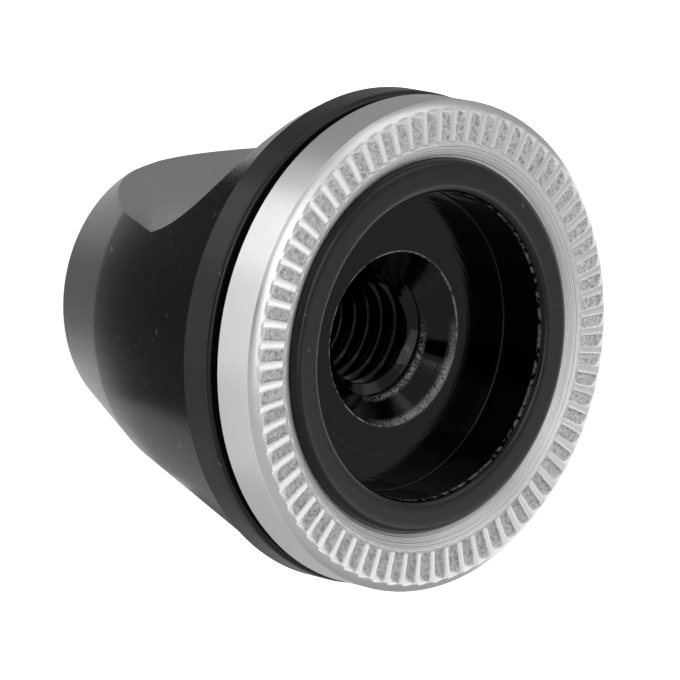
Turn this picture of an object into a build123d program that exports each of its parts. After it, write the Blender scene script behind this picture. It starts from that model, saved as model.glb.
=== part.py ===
from build123d import *
import os
from math import radians, tan

# Rim that the cone grows to and the ring stands flush with, in millimetres
rim_r = 10.0

# Nut body, outside: nose end at Z 0, open face up, axis along Z
nose_end_r = 5.5
nose_edge_chamfer = 0.2
shoulder_r = 7.32
shoulder_z = 4.07
shoulder_round = 3.0
cone_end_z = 12.66
flange_step = 0.08
flange_width = 1.4
flange_edge_chamfer = 0.22

# Ledge that carries the ring, and the spigot that the ring is pressed on
ledge_inset = 0.4
ledge_height = 0.41
spigot_height = 2.04
spigot_wall = 1.37
spigot_edge_round = 0.33

# Counterbore, countersink and thread
recess_depth = 2.38
recess_edge_round = 0.35
countersink_r = 3.57
countersink_edge_chamfer = 0.1
thread_r = 2.5
thread_lead_in = 0.11
thread_exit_chamfer = 0.45

# Two opposite spanner flats, each ending below the flange in a hollow cutter arc
across_flats = 11.0
flat_length = 7.4
flat_arc_r = 7.55
flat_flange_gap = 0.28
cutter_overrun = 0.5

# Serrated ring
ring_width = 2.38
ring_height = 2.12
ring_edge_chamfer = 0.32
ring_back_chamfer = 0.08
ring_cone_width = 0.68
ring_cone_depth = 0.45

# Coined pockets in the ring's crest: radial sides, a ramp at the inner end and a scoop at the outer end
pocket_count = 70
pocket_share = 0.68
pocket_depth = 0.14
pocket_wall_lean = 40.0
pocket_ramp_length = 0.34
pocket_scoop_length = 0.38
pocket_inner_rim = 0.04
pocket_outer_rim = 0.06
pocket_turn = 2.1

# Heights and radii that follow from the sizes above
flange_r = rim_r + flange_step
ledge_r = rim_r - ledge_inset
spigot_r = rim_r - ring_width
recess_r = spigot_r - spigot_wall
flange_front_z = cone_end_z + flange_width
ledge_z = flange_front_z + ledge_height
spigot_z = ledge_z + spigot_height
recess_floor_z = spigot_z - recess_depth
thread_mouth_r = thread_r + thread_lead_in
thread_mouth_z = recess_floor_z - (countersink_r - thread_mouth_r)
crest_z = ledge_z + ring_height
crest_inner_r = spigot_r + ring_cone_width
crest_outer_r = rim_r - ring_edge_chamfer
pocket_pitch = 360 / pocket_count


def nut_profile():
    """Half section of the nut body, to be turned round the Z axis."""
    with BuildSketch(Plane.XZ) as section:
        with BuildLine():
            Polyline(
                (thread_r, thread_exit_chamfer),
                (thread_r + thread_exit_chamfer, 0),
                (nose_end_r, 0),
                (shoulder_r, shoulder_z),
                (rim_r, cone_end_z),
                (flange_r, cone_end_z),
                (flange_r, flange_front_z),
                (ledge_r, flange_front_z),
                (ledge_r, ledge_z),
                (spigot_r, ledge_z),
                (spigot_r, spigot_z),
                (recess_r, spigot_z),
                (recess_r, recess_floor_z),
                (countersink_r, recess_floor_z),
                (thread_mouth_r, thread_mouth_z),
                (thread_r, thread_mouth_z - thread_lead_in),
                close=True,
            )
        make_face()
        edges = (
            (nose_end_r, 0, chamfer, nose_edge_chamfer),
            (shoulder_r, shoulder_z, fillet, shoulder_round),
            (flange_r, flange_front_z, chamfer, flange_edge_chamfer),
            (spigot_r, spigot_z, fillet, spigot_edge_round),
            (recess_r, spigot_z, fillet, recess_edge_round),
            (countersink_r, recess_floor_z, chamfer, countersink_edge_chamfer),
        )
        for r, z, soften, size in edges:
            corner = section.vertices().sort_by_distance((r, z))[0]
            soften(corner, size)
    return section.sketch


def flat_cutter():
    """Stock milled away beside one flat: a level floor, then a hollow arc that climbs to the flange."""
    floor_x = across_flats / 2
    outside_x = flange_r + cutter_overrun
    arc_top_z = cone_end_z - flat_flange_gap
    with BuildSketch(Plane.XZ) as section:
        with BuildLine():
            RadiusArc((floor_x, flat_length), (outside_x, arc_top_z), flat_arc_r)
            Polyline(
                (outside_x, arc_top_z),
                (outside_x, -cutter_overrun),
                (floor_x, -cutter_overrun),
                (floor_x, flat_length),
            )
        make_face()
    return extrude(section.sketch, outside_x, both=True)


def nut_body():
    """Turned nut body with its two flats."""
    body = revolve(nut_profile(), Axis.Z)
    cutter = flat_cutter()
    for turn in (0, 180):
        body -= cutter.rotate(Axis.Z, turn)
    return body


def ring_profile():
    """Half section of the plain ring, pressed on the spigot line to line."""
    bore_r = spigot_r
    with BuildSketch(Plane.XZ) as section:
        with BuildLine():
            Polyline(
                (bore_r, ledge_z),
                (rim_r - ring_back_chamfer, ledge_z),
                (rim_r, ledge_z + ring_back_chamfer),
                (rim_r, crest_z - ring_edge_chamfer),
                (crest_outer_r, crest_z),
                (crest_inner_r, crest_z),
                (bore_r, crest_z - ring_cone_depth),
                close=True,
            )
        make_face()
    return section.sketch


def pocket_length_profile():
    """Pocket seen along the ring: a ramp from the bore side, a level floor and a scooped outer end."""
    inner_r = crest_inner_r + pocket_inner_rim
    outer_r = crest_outer_r - pocket_outer_rim
    floor_z = crest_z - pocket_depth
    scoop_r = (pocket_scoop_length**2 + pocket_depth**2) / (2 * pocket_depth)
    with BuildSketch(Plane.XZ) as section:
        with BuildLine():
            RadiusArc((outer_r - pocket_scoop_length, floor_z), (outer_r, crest_z), -scoop_r)
            Polyline(
                (outer_r, crest_z),
                (outer_r, crest_z + pocket_depth),
                (inner_r, crest_z + pocket_depth),
                (inner_r, crest_z),
                (inner_r + pocket_ramp_length, floor_z),
                (outer_r - pocket_scoop_length, floor_z),
            )
        make_face()
    return section.sketch


def pocket_cross_profile(r):
    """Pocket seen along a radius, with leaning walls on both sides."""
    half_width = r * tan(radians(pocket_share * pocket_pitch / 2))
    wall_run = pocket_depth * tan(radians(pocket_wall_lean))
    floor_z = crest_z - pocket_depth
    head_z = crest_z + pocket_depth
    with BuildSketch(Plane.YZ.offset(r)) as section:
        with BuildLine():
            Polyline(
                (-half_width + wall_run, floor_z),
                (half_width - wall_run, floor_z),
                (half_width + wall_run, head_z),
                (-half_width - wall_run, head_z),
                close=True,
            )
        make_face()
    return section.sketch


def pocket_cutter():
    """One coining tooth on the X axis."""
    trough = loft([pocket_cross_profile(crest_inner_r), pocket_cross_profile(crest_outer_r)], ruled=True)
    return trough & extrude(pocket_length_profile(), crest_outer_r, both=True)


def serrated_ring():
    """Turned ring with its circle of coined pockets."""
    ring = revolve(ring_profile(), Axis.Z)
    tooth = pocket_cutter()
    return ring - [tooth.rotate(Axis.Z, pocket_turn + n * pocket_pitch) for n in range(pocket_count)]


os.makedirs("parts", exist_ok=True)
export_step(nut_body(), "parts/nut_body.step")
export_step(serrated_ring(), "parts/serrated_ring.step")
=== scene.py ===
import bpy
import math
import random
from mathutils import Matrix, Vector


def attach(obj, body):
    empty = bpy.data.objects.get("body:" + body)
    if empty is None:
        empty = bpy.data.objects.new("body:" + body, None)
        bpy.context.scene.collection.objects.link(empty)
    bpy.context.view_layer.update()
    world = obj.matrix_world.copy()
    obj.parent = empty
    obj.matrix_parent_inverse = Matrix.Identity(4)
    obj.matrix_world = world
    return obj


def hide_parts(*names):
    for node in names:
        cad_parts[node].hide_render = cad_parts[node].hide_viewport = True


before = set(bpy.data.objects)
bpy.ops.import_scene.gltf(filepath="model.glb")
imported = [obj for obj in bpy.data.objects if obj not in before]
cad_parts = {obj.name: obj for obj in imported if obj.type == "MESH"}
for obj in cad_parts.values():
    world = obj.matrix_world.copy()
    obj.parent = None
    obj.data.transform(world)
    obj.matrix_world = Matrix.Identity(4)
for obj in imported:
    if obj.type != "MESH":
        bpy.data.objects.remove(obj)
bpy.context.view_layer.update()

# A millimetre in metres: lengths are in millimetres and angles in degrees, unless a comment says otherwise
MM = 0.001

# Slack for comparing two lengths
hair = 0.001

# Nut body: nose end at Z 0, open face up
rim_r = 10.0
nose_end_r = 5.5
nose_edge_round = 0.22
shoulder_r = 7.32
shoulder_z = 4.07
shoulder_round = 3.0
cone_end_z = 12.66
flange_r = 10.08
flange_front_z = 14.06
flange_edge_round = 0.24
ledge_r = 9.6
ledge_z = 14.47
spigot_r = 7.62
spigot_z = 16.51
spigot_edge_round = 0.33
recess_r = 6.25
recess_edge_round = 0.35
recess_floor_z = 14.13
recess_corner_round = 0.06
countersink_r = 3.57
countersink_edge_round = 0.12
thread_r = 2.5
thread_top_z = 13.06
thread_edge_round = 0.05
thread_exit_chamfer = 0.45

# Share of the rounded lip, from the recess outwards, that is glossy like the recess
lip_gloss_share = 0.4

# Spanner flats: a level floor, then a hollow arc round a centre outside that climbs towards the flange
flat_x = 5.5
flat_length = 7.4
flat_arc_r = 7.55
flat_arc_x = 12.70
flat_arc_z = 5.13

# Thread ridge, M5 with a pitch of 0.8, its foot sunk a little into the bore's wall
thread_pitch = 0.8
thread_start = 180.0
thread_crest_r = 2.07
thread_crest_width = 0.2
thread_crest_round = 0.03
thread_crest_spread = 0.02
thread_root_width = 0.66
thread_foot = 0.02

# Serrated ring
ring_crest_z = 16.59
ring_edge_chamfer = 0.32
ring_edge_round = 0.04
ring_back_chamfer = 0.08
ring_cone_width = 0.68
ring_cone_depth = 0.45
crest_inner_r = spigot_r + ring_cone_width
crest_outer_r = rim_r - ring_edge_chamfer

# Coined pockets: a steep and a gentle side, a ramp at the inner end and a slanted scoop at the outer end
pocket_count = 70
pocket_pitch = 2 * math.pi / pocket_count
pocket_turn = 2.4
pocket_share = 0.68
pocket_depth = 0.14
pocket_steep_run = 0.1
pocket_gentle_run = 0.2
pocket_ramp_length = 0.26
pocket_scoop_length = 0.36
pocket_end_slant = 0.2
pocket_outer_rim = 0.03

# Small differences between the pockets, each from the least to the most
pocket_seed = 11
pocket_shifts = (-0.012, 0.012)
pocket_widths = (0.95, 1.04)
pocket_depths = (0.8, 1.0)
pocket_inner_gaps = (0, 0.03)
pocket_outer_gaps = (0, 0.04)

# Share of a pocket's depth by which its floor is fully pitted and darkened with painted shade
shaded_floor_share = 0.25

# Lands between the pockets: crowned, leaning to one side, and rounded off at the outer rim
land_round = 0.012
land_tilt = 0.036
rim_round = 0.045
rim_run = 0.09

# How far the pressed crest bites into the cones beside it
notch_width = 0.07

# Mesh density, and the angles over which an edge is sharp
merge_digits = 5
arc_segments = 8
ring_arc_segments = 4
round_columns = 180
flat_columns = 40
nose_rows = 20
nose_ease = 1.5
nose_least_rise = 1.0
cone_rows_below_corner = 24
cone_rows_beside_arc = 40
cone_arc_ease = 2.0
cone_rows_above_arc = 4
arc_top_halvings = 60
short_run = 0.5
long_run_rows = 4
thread_steps_per_turn = 72
ring_columns_per_pocket = 28
ring_crest_rows = 36
body_sharp_angle = 18
sharp_angle = 30

# Finishes: linear colours, and roughness from the least to the most
satin_black = (0.003, 0.003, 0.0033)
satin_roughness = (0.26, 0.31)
satin_ior = 1.42
speck_grey = (0.05, 0.05, 0.05)
speck_span = (0.75, 0.8)
gloss_black = (0.0005, 0.0005, 0.0006)
gloss_roughness = (0.07, 0.11)
gloss_ior = 1.34
gloss_line_slope = 0.4
# Grey of the rubbed-bare edges, also used for the painted highlight bands in the countersink
bare_and_highlight_grey = (0.26, 0.26, 0.26)
steel_grey = (0.7, 0.7, 0.71)
steel_roughness = (0.3, 0.36)
steel_line_stretch = 1.4
# Painted shade of the pocket floors, then the span and shares of its mottled patches
pocket_shade_grey = (0.32, 0.32, 0.32)
shade_patch_span = (0.45, 0.7)
shade_patch_shares = (0.1, 1.0)
floor_white = (0.92, 0.92, 0.92, 1)
floor_roughness = (0.85, 0.95)
floor_gloss = 0.1
black = (0, 0, 0, 1)
white = (1, 1, 1, 1)

# Span that most of a noise lies in
noise_span = (0.3, 0.7)

# Turned lines of the ring: full on the inner cone, then faded over a short way to a small share
cone_line_fade = 0.1
cone_line_shares = (1.0, 0.12)

# Rubbed edges in the black: broken spots all round the lip and the countersink's rim
spot_scale = 3500
spot_start = 0.42
lip_wear_z = 16.2
lip_wear_reach = 0.11
rim_wear_reach = 0.05

# Painted highlight: fuller pale bands at the countersink's rim and mouth, only on one side of the axis,
# towards the polar angle below
highlight_scale = 9000
highlight_polar = 208.0
highlight_span = (0.5, 0.95)
rim_highlight_reach = 0.17
rim_highlight_r = countersink_r - rim_highlight_reach / 2
rim_highlight_start = 0.34
mouth_highlight_reach = 0.12
mouth_highlight_r = 2.61
mouth_highlight_start = 0.4

# How gradually the rubbed spots and the painted highlight bands begin, and how broken they are
wear_and_highlight_softness = 0.16
wear_and_highlight_detail = 5.0

# Camera: where the photograph was taken from
view_polar = 64.0
view_elevation = 44.61
view_distance = 240.0
view_pivot_z = 16.16
view_aim = (0.657, 2.472, 13.654)
view_roll = 102.05
view_lens = 316.3
sensor_width = 36.0

# Room and floor light as radiance, and the floor's size and its gap under the nut
room_light = 0.57
floor_glow = 0.9
floor_half = 3000.0
floor_gap = 0.01

# Soft panels: turn from the view, elevation, then distance, width and height in metres, and radiance
panels = {
    "key_panel": (-42, 60, 0.6, 0.3, 0.3, 1.5),
    "top_panel": (12, 70, 0.6, 0.25, 0.2, 1.3),
    "side_panel": (-108, 36, 0.6, 0.4, 0.3, 0.8),
    "land_panel": (160, 47, 0.6, 0.2, 0.28, 1.45),
    "backdrop": (180, 14, 0.7, 0.7, 0.34, 0.9),
}

# Cards that the gloss sees in place of the floor: near and far radius, then stops of angle and radiance
floor_cards = {
    "nose_card": (
        0.0, 8.2,
        ((-90, 1.15), (-40, 1.1), (-23, 0.95), (-6, 0.6), (8, 0.56), (22, 0.63), (43, 1.1), (180, 1.1)),
    ),
    "cone_card": (8.2, 18.0, ((-62, 0.05), (54, 0.05))),
    "low_card": (8.2, 18.0, ((54, 0.5), (100, 0.5))),
    "left_card": (13.0, 60.0, ((-155, 0.3), (-62, 0.3))),
    "upper_side_card": (18.0, 60.0, ((-62, 0.6), (-46, 0.6))),
    "upper_card": (18.0, 60.0, ((-46, 1.35), (-14, 1.35))),
    "near_card": (18.0, 60.0, ((-14, 0.95), (24, 0.95))),
    "lower_card": (18.0, 60.0, ((24, 0.75), (64, 0.75))),
    "right_card": (18.0, 60.0, ((64, 0.55), (155, 0.55))),
    "right_near_card": (10.0, 18.0, ((100, 0.25), (155, 0.25))),
    "far_card": (10.0, 28.0, ((155, 0.2), (205, 0.2))),
}
card_z = 0.1
card_step = 10

# Upright cards round the far side: stops of angle and radiance
wing_cards = {
    "left_wing": ((205, 0.4), (270, 0.4)),
    "right_wing": ((90, 0.4), (155, 0.4)),
}
wing_r = 60.0
wing_height = 40.0

# Card that the milled flat sees, and a black one where the camera stands
flat_card_z = 0.15
flat_card_half = 4.5
flat_card_reach = 9.5
flat_card_light = 0.92
camera_card_half = 60.0
camera_card_distance = 400.0


def unit(value):
    """The value held between 0 and 1."""
    return min(1.0, max(0.0, value))


def smooth(share):
    """A share from 0 to 1 that starts and ends gently."""
    return share * share * (3 - 2 * share)


def direction(polar, elevation):
    """Unit vector towards a place round the nut, in degrees from +X and above the floor."""
    a, e = math.radians(polar), math.radians(elevation)
    return Vector((math.cos(a) * math.cos(e), math.sin(a) * math.cos(e), math.sin(e)))


def view_axes(back):
    """Level and rising directions across a view, from the direction back to its eye."""
    level = Vector((0, 0, 1)).cross(back).normalized()
    return level, back.cross(level)


def divided(a, b, steps, ease=1.0):
    """Points from a to b without b itself, closer together near a when ease is over 1."""
    return [a + (b - a) * (n / steps) ** ease for n in range(steps)]


def rounded_outline(corners, segments):
    """Points along a run of corners (r, z, round radius), each corner replaced by its arc."""
    points = []
    for i, (r, z, radius) in enumerate(corners):
        here = Vector((r, z))
        if radius == 0 or i in (0, len(corners) - 1):
            points.append(here)
            continue
        to_last = (Vector(corners[i - 1][:2]) - here).normalized()
        to_next = (Vector(corners[i + 1][:2]) - here).normalized()
        half = to_last.angle(to_next) / 2
        centre = here + (to_last + to_next).normalized() * (radius / math.sin(half))
        start = here + to_last * (radius / math.tan(half)) - centre
        end = here + to_next * (radius / math.tan(half)) - centre
        sweep = start.angle(end)
        for n in range(segments + 1):
            a = sweep * n / segments
            from_start = start * (math.sin(sweep - a) / math.sin(sweep))
            from_end = end * (math.sin(a) / math.sin(sweep))
            points.append(centre + from_start + from_end)
    return points


def add_mesh(name, points, faces):
    """New mesh object in the scene, its points in metres."""
    mesh = bpy.data.meshes.new(name)
    mesh.from_pydata(points, [], faces)
    obj = bpy.data.objects.new(name, mesh)
    bpy.context.scene.collection.objects.link(obj)
    return obj


class Skin:
    """Vertices and faces of one piece, with vertices in the same place shared."""

    def __init__(self):
        self.index = {}
        self.points = []
        self.faces = []
        self.finishes = []
        self.creases = {}

    def vertex(self, x, y, z):
        """Number of the vertex at a place, new or shared."""
        key = (round(x, merge_digits), round(y, merge_digits), round(z, merge_digits))
        if key not in self.index:
            self.index[key] = len(self.points)
            self.points.append((x * MM, y * MM, z * MM))
        return self.index[key]

    def face(self, corners, finish):
        """One face, without repeated corners, or none if too few are left."""
        ring = [c for i, c in enumerate(corners) if c != corners[i - 1]]
        if len(set(ring)) == len(ring) and len(ring) > 2:
            self.faces.append(ring)
            self.finishes.append(finish)

    def strip(self, low, high, finish=0):
        """Quads between two closed rows of vertices of the same length."""
        for i in range(len(low)):
            self.face((low[i - 1], low[i], high[i], high[i - 1]), finish)

    def crease(self, row, number):
        """Makes the edges along a row sharp. Each creased row has its own number."""
        self.creases.update((v, number) for v in row)

    def piece(self, name, sharp_over):
        """The finished mesh object, smooth except at creases and at edges over an angle."""
        obj = add_mesh(name, self.points, self.faces)
        mesh = obj.data
        mesh.polygons.foreach_set("use_smooth", [True] * len(self.faces))
        mesh.polygons.foreach_set("material_index", self.finishes)
        mesh.set_sharp_from_angle(angle=math.radians(sharp_over))
        for edge in mesh.edges:
            a, b = (self.creases.get(v) for v in edge.vertices)
            if a is not None and a == b:
                edge.use_edge_sharp = True
        return obj


def flat_limit(z):
    """Distance from the axis to the milled flat at a height, without limit above the cutter's arc."""
    if z <= flat_length:
        return flat_x
    rise = z - flat_arc_z
    if rise >= flat_arc_r:
        return math.inf
    return flat_arc_x - math.sqrt(flat_arc_r ** 2 - rise ** 2)


def cone_rows(low, high):
    """Rows up the cone, one of them at the flat's corner and many near the top of the cutter's arc."""
    slope = (high.x - low.x) / (high.y - low.y)

    def on_cone(z):
        return Vector((low.x + slope * (z - low.y), z))

    cut_z, uncut_z = flat_length, high.y
    for _ in range(arc_top_halvings):
        middle = (cut_z + uncut_z) / 2
        if on_cone(middle).x > flat_limit(middle):
            cut_z = middle
        else:
            uncut_z = middle
    corner, tip = on_cone(flat_length), on_cone(cut_z)
    below = divided(low, corner, cone_rows_below_corner)
    beside = divided(tip, corner, cone_rows_beside_arc, cone_arc_ease)
    above = divided(tip, high, cone_rows_above_arc)
    return below + [corner] + beside[::-1] + above[1:]


def nut_outline():
    """Closed half section of the nut body, from the thread's exit round the outside and down the bore."""
    corners = rounded_outline([
        (thread_r, thread_exit_chamfer, 0),
        (thread_r + thread_exit_chamfer, 0, 0),
        (nose_end_r, 0, nose_edge_round),
        (shoulder_r, shoulder_z, shoulder_round),
        (rim_r, cone_end_z, 0),
        (flange_r, cone_end_z, 0),
        (flange_r, flange_front_z, flange_edge_round),
        (ledge_r, flange_front_z, 0),
        (ledge_r, ledge_z, 0),
        (spigot_r, ledge_z, 0),
        (spigot_r, spigot_z, spigot_edge_round),
        (recess_r, spigot_z, recess_edge_round),
        (recess_r, recess_floor_z, recess_corner_round),
        (countersink_r, recess_floor_z, countersink_edge_round),
        (thread_r, thread_top_z, thread_edge_round),
        (thread_r, thread_exit_chamfer, 0),
    ], arc_segments)
    cone_end = Vector((rim_r, cone_end_z))
    points = []
    for low, high in zip(corners, corners[1:]):
        if (high - cone_end).length < hair:
            points += cone_rows(low, high)
        elif low.y + nose_least_rise < high.y < shoulder_z:
            points += divided(low, high, nose_rows, nose_ease)
        else:
            points += divided(low, high, 1 if (high - low).length < short_run else long_run_rows)
    return points


def nut_row(skin, r, z):
    """One closed row of the nut body: flat, round, flat, round."""
    limit = flat_limit(z)
    half = math.acos(limit / r) if r > limit else 0.0
    row = []
    for side in (1, -1):
        edge = r * math.sin(half)
        for n in range(flat_columns):
            across = edge * (2 * n / flat_columns - 1)
            x = limit if half else r
            row.append(skin.vertex(side * x, side * across, z))
        for n in range(round_columns):
            a = half + (math.pi - 2 * half) * n / round_columns
            row.append(skin.vertex(side * r * math.cos(a), side * r * math.sin(a), z))
    return row


def make_nut_body():
    """Turned nut body with its two flats, satin outside and on the lip, glossier inside."""
    skin = Skin()
    rows = [(p, nut_row(skin, p.x, p.y)) for p in nut_outline()]
    gloss_r = recess_r + lip_gloss_share * recess_edge_round
    inside = False
    for (p, low), (_, high) in zip(rows, rows[1:] + rows[:1]):
        inside = inside or (p.y > ledge_z and p.x < gloss_r)
        skin.strip(low, high, finish=int(inside))
    return skin.piece("turned_body", body_sharp_angle)


def make_thread():
    """Right-handed thread ridge in the bore, trimmed by the countersink above and the chamfer below."""
    low_z, high_z = thread_exit_chamfer, thread_top_z
    half_section = [
        (thread_r + thread_foot, thread_root_width / 2),
        (thread_crest_r + thread_crest_round, thread_crest_width / 2 + thread_crest_spread),
        (thread_crest_r, thread_crest_width / 2 - thread_crest_round),
    ]
    section = [(r, -dz) for r, dz in half_section] + half_section[::-1]
    rise = thread_pitch / thread_steps_per_turn
    steps = math.ceil((high_z - low_z + thread_root_width) / rise)
    skin = Skin()
    rows = []
    for n in range(steps + 1):
        middle = low_z - thread_root_width / 2 + rise * n
        a = 2 * math.pi * (middle - low_z) / thread_pitch + math.radians(thread_start)
        row = []
        for section_r, dz in section:
            z = min(max(middle + dz, low_z), high_z)
            r = max(section_r, thread_r - (high_z - z), thread_r - (z - low_z))
            row.append(skin.vertex(r * math.cos(a), r * math.sin(a), z))
        rows.append(row)
    for low, high in zip(rows, rows[1:]):
        skin.strip(low, high)
    return skin.piece("thread", sharp_angle)


class Pocket:
    """One coined pocket of the ring, a little different from its neighbours."""

    def __init__(self, dice):
        self.shift = dice.uniform(*pocket_shifts)
        self.width = dice.uniform(*pocket_widths)
        self.depth = pocket_depth * dice.uniform(*pocket_depths)
        self.inner_r = crest_inner_r + dice.uniform(*pocket_inner_gaps)
        self.outer_r = crest_outer_r - pocket_outer_rim - dice.uniform(*pocket_outer_gaps)

    def depth_share(self, r, offset, half_width):
        """Share of the pocket's depth at a radius and a distance from its middle line."""
        run = half_width - abs(offset)
        steep = smooth(unit(run / pocket_steep_run))
        gentle = unit(run / pocket_gentle_run)
        side = steep if offset > 0 else gentle
        ramp = unit((r - self.inner_r) / pocket_ramp_length)
        end_r = self.outer_r - pocket_end_slant * unit((half_width - offset) / half_width / 2)
        scoop = unit((end_r - r) / pocket_scoop_length)
        return min(side * (1 - (1 - scoop) ** 2), ramp)

    def drop(self, r, turn):
        """How far the crest is pressed down at a radius and a turn in radians, and how much pitting and
        painted shade its floor gets.
        """
        half_width = r * pocket_share * pocket_pitch / 2 * self.width
        offset = r * turn - self.shift
        inside = self.depth_share(r, offset, half_width)
        land = land_drop(r, offset, half_width)
        rim = rim_round * unit((r - crest_outer_r) / rim_run + 1) ** 2
        pressed = max(self.depth * inside + land * (1 - inside), rim)
        return pressed, unit(inside / shaded_floor_share)


def land_drop(r, offset, half_width):
    """How far the land beside a pocket lies below the crest: crowned, and leaning to one side."""
    across = abs(offset)
    land_half = r * pocket_pitch * (1 - pocket_share) / 2
    edge = unit(1 - (across - half_width) / land_half)
    lean = offset / half_width if across < half_width else math.copysign(edge, offset)
    return land_round * edge ** 2 + land_tilt * (1 - lean) / 2


def ring_outline():
    """Rows of the ring as (r, z), from the bore's foot round the outside and back down the inner cone."""
    corners = rounded_outline([
        (spigot_r, ledge_z, 0),
        (rim_r - ring_back_chamfer, ledge_z, 0),
        (rim_r, ledge_z + ring_back_chamfer, 0),
        (rim_r, ring_crest_z - ring_edge_chamfer, ring_edge_round),
        (crest_outer_r + notch_width, ring_crest_z - notch_width, 0),
        (crest_outer_r, ring_crest_z, 0),
        (crest_inner_r, ring_crest_z, 0),
        (crest_inner_r - notch_width, ring_crest_z - notch_width * ring_cone_depth / ring_cone_width, 0),
        (spigot_r, ring_crest_z - ring_cone_depth, 0),
    ], ring_arc_segments)
    rows = []
    for here, there in zip(corners, corners[1:]):
        on_crest = min(here.y, there.y) > ring_crest_z - hair
        rows += divided(here, there, ring_crest_rows if on_crest else 1)
    return rows + corners[-1:]


def make_ring():
    """Serrated ring with its pockets coined into a fine mesh, and how much pitting and painted shade each
    point of it gets.
    """
    dice = random.Random(pocket_seed)
    pockets = [Pocket(dice) for _ in range(pocket_count)]
    skin = Skin()
    floor_shade_and_pits = {}
    rows = []
    for r, z in ring_outline():
        pressed = crest_inner_r - hair < r < crest_outer_r + notch_width / 2
        row = []
        for n in range(pocket_count * ring_columns_per_pocket):
            step, part = divmod(n, ring_columns_per_pocket)
            turn = (part / ring_columns_per_pocket - 0.5) * pocket_pitch
            a = math.radians(pocket_turn) + step * pocket_pitch + turn
            drop, shade_and_pits = pockets[step].drop(r, turn)
            height = min(z, ring_crest_z - drop) if pressed else z
            v = skin.vertex(r * math.cos(a), r * math.sin(a), height)
            floor_shade_and_pits[v] = shade_and_pits if pressed else 0.0
            row.append(v)
        rows.append(row)
        if crest_inner_r - notch_width - hair < r < crest_inner_r + hair:
            skin.crease(row, len(rows))
    for low, high in zip(rows, rows[1:] + rows[:1]):
        skin.strip(low, high)
    obj = skin.piece("coined_ring", sharp_angle)
    layer = obj.data.attributes.new("coined", "FLOAT", "POINT")
    layer.data.foreach_set("value", [floor_shade_and_pits[i] for i in range(len(skin.points))])
    return obj


class Nodes:
    """Short spelling for building a material's node tree."""

    def __init__(self, name):
        self.material = bpy.data.materials.new(name)
        self.material.use_nodes = True
        self.tree = self.material.node_tree
        self.shader = self.tree.nodes["Principled BSDF"]

    def add(self, kind, **settings):
        """New node with its settings."""
        node = self.tree.nodes.new(kind)
        for key, value in settings.items():
            setattr(node, key, value)
        return node

    def feed(self, socket, value):
        """Links another node's output to a socket, or sets the socket to a constant."""
        if isinstance(value, bpy.types.NodeSocket):
            self.tree.links.new(value, socket)
        else:
            socket.default_value = value

    def surface(self, inputs):
        """The finished material, with the shader's own sockets fed by name."""
        for name, value in inputs.items():
            self.feed(self.shader.inputs[name], value)
        return self.material

    def math(self, operation, a, b=0.0):
        """Result of one sum."""
        node = self.add("ShaderNodeMath", operation=operation)
        self.feed(node.inputs[0], a)
        self.feed(node.inputs[1], b)
        return node.outputs[0]

    def noise(self, source, scale, detail=2.0, dimensions="3D", socket="Vector"):
        """Noise with so many spots to the metre."""
        node = self.add("ShaderNodeTexNoise", noise_dimensions=dimensions)
        node.inputs["Scale"].default_value = scale
        node.inputs["Detail"].default_value = detail
        self.feed(node.inputs[socket], source)
        return node.outputs["Fac"]

    def lines(self, along, scale, detail):
        """Noise that changes along one value only, for turned lines."""
        return self.noise(along, scale, detail, "1D", "W")

    def ramp(self, value, span, results=(0.0, 1.0)):
        """Value carried from a span to the results at its two ends, and held there beyond them."""
        node = self.add("ShaderNodeMapRange")
        names = ("From Min", "From Max", "To Min", "To Max")
        for name, number in zip(names, (*span, *results)):
            node.inputs[name].default_value = number
        self.feed(node.inputs["Value"], value)
        return node.outputs["Result"]

    def shade(self, amount, plain, full):
        """Colour between two greys."""
        node = self.add("ShaderNodeMix", data_type="RGBA")
        self.feed(node.inputs["Factor"], amount)
        node.inputs["A"].default_value = (*plain, 1)
        node.inputs["B"].default_value = (*full, 1)
        return node.outputs["Result"]

    def bump(self, height, distance, strength, under=None):
        """Fine relief, its distance in metres, on top of another relief if there is one."""
        node = self.add("ShaderNodeBump")
        node.inputs["Distance"].default_value = distance
        node.inputs["Strength"].default_value = strength
        self.feed(node.inputs["Height"], height)
        if under:
            self.feed(node.inputs["Normal"], under)
        return node.outputs["Normal"]

    def place(self):
        """Object coordinates, with the distance from the axis and the height picked out."""
        coordinates = self.add("ShaderNodeTexCoord").outputs["Object"]
        split = self.add("ShaderNodeSeparateXYZ")
        self.feed(split.inputs[0], coordinates)
        x, y, z = split.outputs
        square = self.math("ADD", self.math("MULTIPLY", x, x), self.math("MULTIPLY", y, y))
        return coordinates, self.math("SQRT", square), z


def anodised_satin():
    """Satin black anodised aluminium with fine turned lines and a few small specks."""
    n = Nodes("anodised_satin")
    coordinates, _, z = n.place()
    turned = n.bump(n.lines(z, scale=14000, detail=3.0), distance=3e-6, strength=0.6)
    grain = n.noise(coordinates, scale=6000, detail=3.0)
    specks = n.ramp(n.noise(coordinates, scale=2200, detail=1.0), speck_span)
    mottle = n.noise(coordinates, scale=5000, detail=3.0)
    return n.surface({
        "Base Color": n.shade(specks, satin_black, speck_grey),
        "Roughness": n.ramp(mottle, noise_span, satin_roughness),
        "Normal": n.bump(grain, distance=4e-6, strength=0.5, under=turned),
        "IOR": satin_ior,
    })


def edge_wear_and_highlight(n, coordinates, value, edge, reach, scale, start):
    """Spots of noise above a start near an edge: rubbed-off black at the lip and rim, painted highlight in
    the countersink's bands.
    """
    away = n.math("ABSOLUTE", n.math("SUBTRACT", value, edge * MM))
    near = n.ramp(away, (0.0, reach * MM), (1.0, 0.0))
    spots = n.ramp(n.noise(coordinates, scale, wear_and_highlight_detail), (start, start + wear_and_highlight_softness))
    return n.math("MULTIPLY", near, spots)


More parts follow.
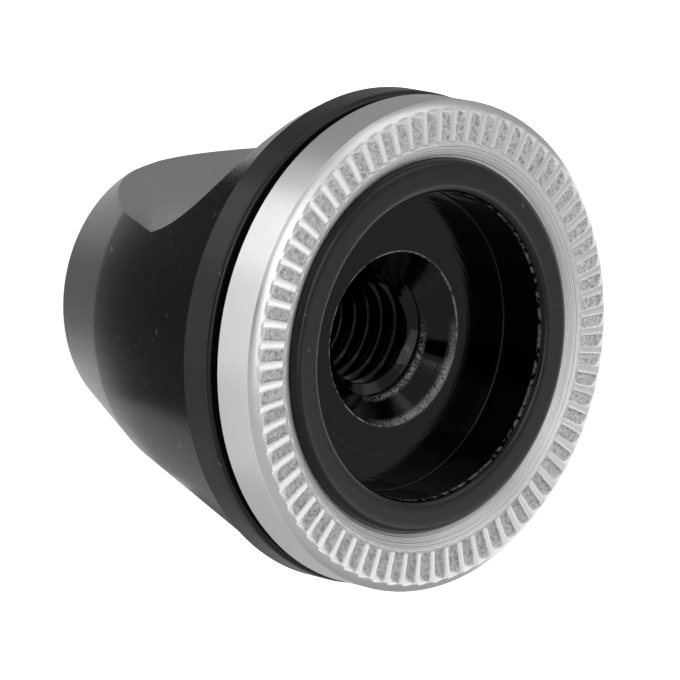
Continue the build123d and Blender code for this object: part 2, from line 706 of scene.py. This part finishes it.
def painted_highlight_side(n, coordinates, radius):
    """Share of the painted highlight bands: full towards their polar angle, fading to none round the axis.
    """
    side = n.add("ShaderNodeVectorMath", operation="DOT_PRODUCT")
    n.feed(side.inputs[0], coordinates)
    n.feed(side.inputs[1], direction(highlight_polar, 0))
    return n.ramp(n.math("DIVIDE", side.outputs["Value"], radius), highlight_span)


def anodised_turned():
    """Glossier black anodised aluminium inside the nut, with turned rings, edges rubbed bare, and painted
    highlight bands on one side of the countersink.
    """
    n = Nodes("anodised_turned")
    coordinates, radius, z = n.place()
    along = n.math("ADD", radius, n.math("MULTIPLY", z, gloss_line_slope))
    lip = edge_wear_and_highlight(n, coordinates, z, lip_wear_z, lip_wear_reach, spot_scale, spot_start)
    rim = edge_wear_and_highlight(n, coordinates, radius, countersink_r, rim_wear_reach, spot_scale, spot_start)
    rim_highlight = edge_wear_and_highlight(n, coordinates, radius, rim_highlight_r, rim_highlight_reach, highlight_scale, rim_highlight_start)
    mouth_highlight = edge_wear_and_highlight(n, coordinates, radius, mouth_highlight_r, mouth_highlight_reach, highlight_scale, mouth_highlight_start)
    # Painted highlight: pale bands on one side of the countersink's rim and mouth
    highlight_bands = n.math("MULTIPLY", painted_highlight_side(n, coordinates, radius), n.math("MAXIMUM", rim_highlight, mouth_highlight))
    wear_and_highlight = n.math("MAXIMUM", n.math("MAXIMUM", lip, rim), highlight_bands)
    return n.surface({
        "Base Color": n.shade(wear_and_highlight, gloss_black, bare_and_highlight_grey),
        "Roughness": n.ramp(n.noise(coordinates, scale=1200), noise_span, gloss_roughness),
        "Normal": n.bump(n.lines(along, scale=7000, detail=4.0), distance=4e-6, strength=0.8),
        "IOR": gloss_ior,
    })


def plated_steel():
    """Bright plated steel, turned on the inner cone, pitted where it was coined, with painted shade in
    mottled patches on the pocket floors.
    """
    n = Nodes("plated_steel")
    coordinates, radius, z = n.place()
    coined = n.add("ShaderNodeAttribute", attribute_name="coined").outputs["Fac"]
    fade = (crest_inner_r * MM, (crest_inner_r + cone_line_fade) * MM)
    on_cone = n.ramp(radius, fade, cone_line_shares)
    outwards = n.math("MULTIPLY", radius, steel_line_stretch)
    upwards = n.math("MULTIPLY", z, n.math("SUBTRACT", 1.0, on_cone))
    turned = n.lines(n.math("ADD", outwards, upwards), scale=16000, detail=3.0)
    rings = n.bump(n.math("MULTIPLY", turned, on_cone), distance=4e-5, strength=1.0)
    pits = n.math("MULTIPLY", n.noise(coordinates, scale=15000, detail=3.0), coined)
    shade_patches = n.ramp(n.noise(coordinates, scale=7000, detail=4.0), shade_patch_span, shade_patch_shares)
    return n.surface({
        # Painted shade: the pocket floors darkened to a mid grey in mottled patches
        "Base Color": n.shade(n.math("MULTIPLY", coined, shade_patches), steel_grey, pocket_shade_grey),
        "Roughness": n.ramp(n.noise(coordinates, scale=2500, detail=3.0), noise_span, steel_roughness),
        "Normal": n.bump(pits, distance=9e-5, strength=1.0, under=rings),
        "Metallic": 1.0,
    })


def pale_floor():
    """Pale matt floor with a little light of its own, like a light table."""
    n = Nodes("pale_floor")
    coordinates = n.add("ShaderNodeTexCoord").outputs["Object"]
    return n.surface({
        "Base Color": floor_white,
        "Roughness": n.ramp(n.noise(coordinates, scale=40), noise_span, floor_roughness),
        "Specular IOR Level": floor_gloss,
        "Emission Color": white,
        "Emission Strength": floor_glow,
    })


def card_paint(name):
    """Black paint that shines with the radiance of each corner of its card."""
    n = Nodes(name)
    return n.surface({
        "Base Color": black,
        "Specular IOR Level": 0.0,
        "Emission Color": white,
        "Emission Strength": n.add("ShaderNodeAttribute", attribute_name="glow").outputs["Fac"],
    })


def make_floor():
    """Level floor that the nut stands on."""
    half, z = floor_half * MM, -floor_gap * MM
    corners = [(-half, -half, z), (half, -half, z), (half, half, z), (-half, half, z)]
    floor = add_mesh("floor", corners, [(0, 1, 2, 3)])
    floor.data.materials.append(pale_floor())


def add_card(name, corners, faces, glows):
    """Card that only shows in the nut's gloss, with a radiance for each corner."""
    card = add_mesh(name, [corner * MM for corner in corners], faces)
    card.data.attributes.new("glow", "FLOAT", "POINT").data.foreach_set("value", glows)
    card.data.materials.append(card_paint(name))
    card.visible_camera = False
    card.visible_diffuse = False
    card.visible_shadow = False


def add_band(name, edges, stops):
    """Card swept round the nut between two edges (r, z), its radiance graded between stops."""
    samples = [stops[0]]
    for (start, first), (end, last) in zip(stops, stops[1:]):
        steps = math.ceil((end - start) / card_step)
        for n in range(1, steps + 1):
            samples.append((start + (end - start) * n / steps, first + (last - first) * n / steps))
    corners = []
    glows = []
    for angle, radiance in samples:
        out = direction(view_polar + angle, 0)
        corners += [out * r + Vector((0, 0, z)) for r, z in edges]
        glows += [radiance, radiance]
    faces = [(2 * n, 2 * n + 1, 2 * n + 3, 2 * n + 2) for n in range(len(samples) - 1)]
    add_card(name, corners, faces, glows)


def add_flat_card(eye):
    """Card on the floor where the camera sees it mirrored in the milled flat."""
    corners = []
    for across, z in ((-1, 0), (1, 0), (1, flat_card_reach), (-1, flat_card_reach)):
        x = flat_x + z * eye.x / eye.z
        y = across * flat_card_half - z * eye.y / eye.z
        corners.append(Vector((x, y, flat_card_z)))
    add_card("flat_card", corners, [(0, 1, 2, 3)], [flat_card_light] * 4)


def add_camera_card(eye):
    """Black card where the camera and whoever holds it darken the gloss."""
    level, rise = (axis * camera_card_half for axis in view_axes(eye))
    middle = eye * camera_card_distance
    corners = [middle - level - rise, middle + level - rise, middle + level + rise, middle - level + rise]
    add_card("camera_card", corners, [(0, 1, 2, 3)], [0.0] * 4)


def make_cards():
    """Bands on the floor and round the far side, a card for the flat and a black one at the camera."""
    for name, (near, far, stops) in floor_cards.items():
        add_band(name, ((near, card_z), (far, card_z)), stops)
    for name, stops in wing_cards.items():
        add_band(name, ((wing_r, 0), (wing_r, wing_height)), stops)
    eye = direction(view_polar, view_elevation)
    add_flat_card(eye)
    add_camera_card(eye)


def make_camera():
    """Camera at the photograph's viewing angle, rolled so that the nut lies on its side in the picture."""
    data = bpy.data.cameras.new("camera")
    data.lens = view_lens
    data.sensor_width = sensor_width
    camera = bpy.data.objects.new("camera", data)
    bpy.context.scene.collection.objects.link(camera)
    eye = Vector((0, 0, view_pivot_z)) + direction(view_polar, view_elevation) * view_distance
    back = (eye - Vector(view_aim)).normalized()
    level, rise = view_axes(back)
    roll = math.radians(view_roll)
    right = level * math.cos(roll) + rise * math.sin(roll)
    up = rise * math.cos(roll) - level * math.sin(roll)
    camera.matrix_world = Matrix.Translation(eye * MM) @ Matrix((right, up, back)).transposed().to_4x4()
    bpy.context.scene.camera = camera


def add_softbox(name, polar, elevation, distance, width, height, radiance):
    """Soft light panel that faces the nut and isn't seen itself, its lengths in metres."""
    data = bpy.data.lights.new(name, "AREA")
    data.shape = "RECTANGLE"
    data.size, data.size_y = width, height
    data.energy = radiance * math.pi * width * height
    light = bpy.data.objects.new(name, data)
    bpy.context.scene.collection.objects.link(light)
    towards = direction(polar, elevation)
    light.location = towards * distance
    light.rotation_mode = "QUATERNION"
    light.rotation_quaternion = (-towards).to_track_quat("-Z", "Y")
    light.visible_camera = False


def make_light():
    """Soft studio light: a dim room, panels overhead and beside, and a low backdrop on the far side."""
    world = bpy.data.worlds.new("studio")
    world.use_nodes = True
    background = world.node_tree.nodes["Background"]
    background.inputs["Color"].default_value = white
    background.inputs["Strength"].default_value = room_light
    bpy.context.scene.world = world
    for name, (turn, *panel) in panels.items():
        add_softbox(name, view_polar + turn, *panel)
    bpy.context.scene.view_settings.view_transform = "Standard"


def place_piece(obj, materials, node=None):
    """Puts a piece on the nut: its finish, its body and the solid that it stands for."""
    for material in materials:
        obj.data.materials.append(material)
    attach(obj, "root")
    if node:
        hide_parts(node)


satin = anodised_satin()
gloss = anodised_turned()
place_piece(make_nut_body(), [satin, gloss], "nut_body")
place_piece(make_thread(), [gloss])
place_piece(make_ring(), [plated_steel()], "serrated_ring")
make_floor()
make_cards()
make_camera()
make_light()
